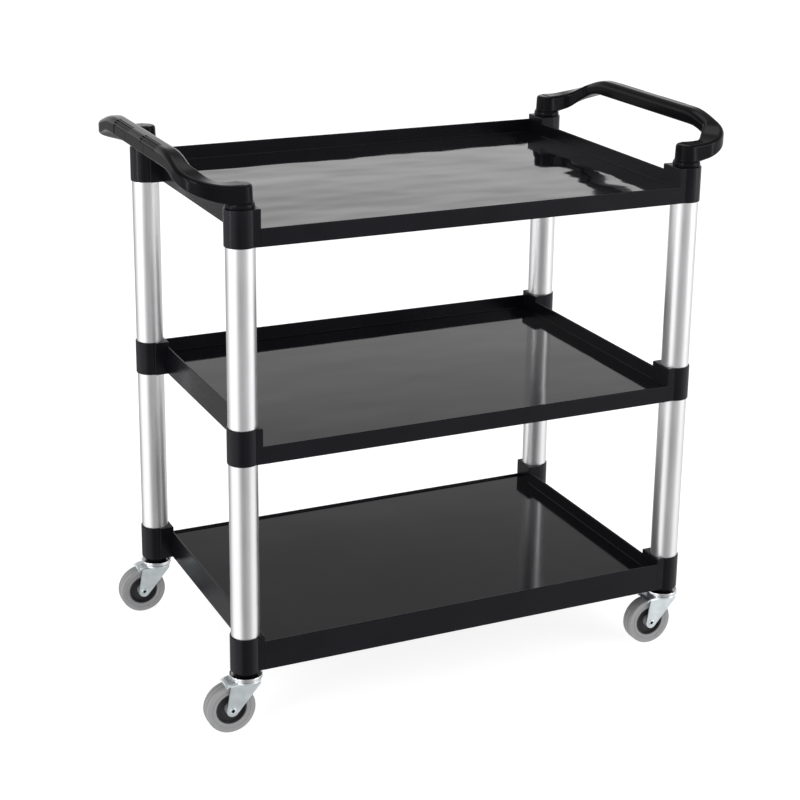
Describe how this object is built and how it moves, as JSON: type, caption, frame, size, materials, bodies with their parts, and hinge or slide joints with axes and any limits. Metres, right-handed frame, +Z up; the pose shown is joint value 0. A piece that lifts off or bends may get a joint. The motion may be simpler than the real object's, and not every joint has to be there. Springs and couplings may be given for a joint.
{
  "type": "food service trolley",
  "caption": "Food service trolley with tray shelves on round aluminium posts, a moulded push handle at each end and swivel casters with rubber tyres.",
  "frame": {"origin": "on the floor under the middle of the trolley, halfway between the posts both ways", "axes": "+Z up, +X along the long side from the left handle to the right handle, the front faces -Y"},
  "size_m": [0.934, 0.512, 0.909],
  "materials": {
    "shelf_plastic": "glossy black polypropylene",
    "handle_plastic": "semi-gloss black moulding",
    "tube_aluminium": "satin anodised",
    "fork_zinc": "zinc-plated pressed steel",
    "ring_chrome": "bright plated",
    "steel_bright": "plated steel",
    "wheel_plastic": "dark moulded polypropylene",
    "tyre_rubber": "grey non-marking rubber"
  },
  "bodies": {
    "frame": {"bottom_shelf": "shelf_plastic", "middle_shelf": "shelf_plastic", "top_shelf": "shelf_plastic", "fl_lower_tube": "tube_aluminium", "fr_lower_tube": "tube_aluminium", "bl_lower_tube": "tube_aluminium", "br_lower_tube": "tube_aluminium", "fl_upper_tube": "tube_aluminium", "fr_upper_tube": "tube_aluminium", "bl_upper_tube": "tube_aluminium", "br_upper_tube": "tube_aluminium", "left_handle": "handle_plastic", "right_handle": "handle_plastic", "fl_stem": "steel_bright", "fl_cover_ring": "ring_chrome", "fl_balls": "steel_bright", "fr_stem": "steel_bright", "fr_cover_ring": "ring_chrome", "fr_balls": "steel_bright", "bl_stem": "steel_bright", "bl_cover_ring": "ring_chrome", "bl_balls": "steel_bright", "br_stem": "steel_bright", "br_cover_ring": "ring_chrome", "br_balls": "steel_bright"},
    "fl_swivel": {"fl_fork": "fork_zinc", "fl_lower_race": "ring_chrome", "fl_axle": "steel_bright", "fl_sleeve": "steel_bright", "fl_washers": "steel_bright"},
    "fl_wheel": {"fl_wheel_centre": "wheel_plastic", "fl_tyre": "tyre_rubber"},
    "fr_swivel": {"fr_fork": "fork_zinc", "fr_lower_race": "ring_chrome", "fr_axle": "steel_bright", "fr_sleeve": "steel_bright", "fr_washers": "steel_bright"},
    "fr_wheel": {"fr_wheel_centre": "wheel_plastic", "fr_tyre": "tyre_rubber"},
    "bl_swivel": {"bl_fork": "fork_zinc", "bl_lower_race": "ring_chrome", "bl_axle": "steel_bright", "bl_sleeve": "steel_bright", "bl_washers": "steel_bright"},
    "bl_wheel": {"bl_wheel_centre": "wheel_plastic", "bl_tyre": "tyre_rubber"},
    "br_swivel": {"br_fork": "fork_zinc", "br_lower_race": "ring_chrome", "br_axle": "steel_bright", "br_sleeve": "steel_bright", "br_washers": "steel_bright"},
    "br_wheel": {"br_wheel_centre": "wheel_plastic", "br_tyre": "tyre_rubber"}
  },
  "joints": [
    {"name": "fl_caster_swivel", "type": "hinge", "parent": "frame", "child": "fl_swivel", "pos_m": [-0.38, -0.23, 0.088], "axis": [0, 0, 1], "continuous": true},
    {"name": "fl_wheel_spin", "type": "hinge", "parent": "fl_swivel", "child": "fl_wheel", "pos_m": [-0.408, -0.23, 0.04], "axis": [0, 1, 0], "continuous": true},
    {"name": "fr_caster_swivel", "type": "hinge", "parent": "frame", "child": "fr_swivel", "pos_m": [0.38, -0.23, 0.088], "axis": [0, 0, 1], "continuous": true},
    {"name": "fr_wheel_spin", "type": "hinge", "parent": "fr_swivel", "child": "fr_wheel", "pos_m": [0.352, -0.23, 0.04], "axis": [0, 1, 0], "continuous": true},
    {"name": "bl_caster_swivel", "type": "hinge", "parent": "frame", "child": "bl_swivel", "pos_m": [-0.38, 0.23, 0.088], "axis": [0, 0, 1], "continuous": true},
    {"name": "bl_wheel_spin", "type": "hinge", "parent": "bl_swivel", "child": "bl_wheel", "pos_m": [-0.408, 0.23, 0.04], "axis": [0, 1, 0], "continuous": true},
    {"name": "br_caster_swivel", "type": "hinge", "parent": "frame", "child": "br_swivel", "pos_m": [0.38, 0.23, 0.088], "axis": [0, 0, 1], "continuous": true},
    {"name": "br_wheel_spin", "type": "hinge", "parent": "br_swivel", "child": "br_wheel", "pos_m": [0.352, 0.23, 0.04], "axis": [0, 1, 0], "continuous": true}
  ]
}
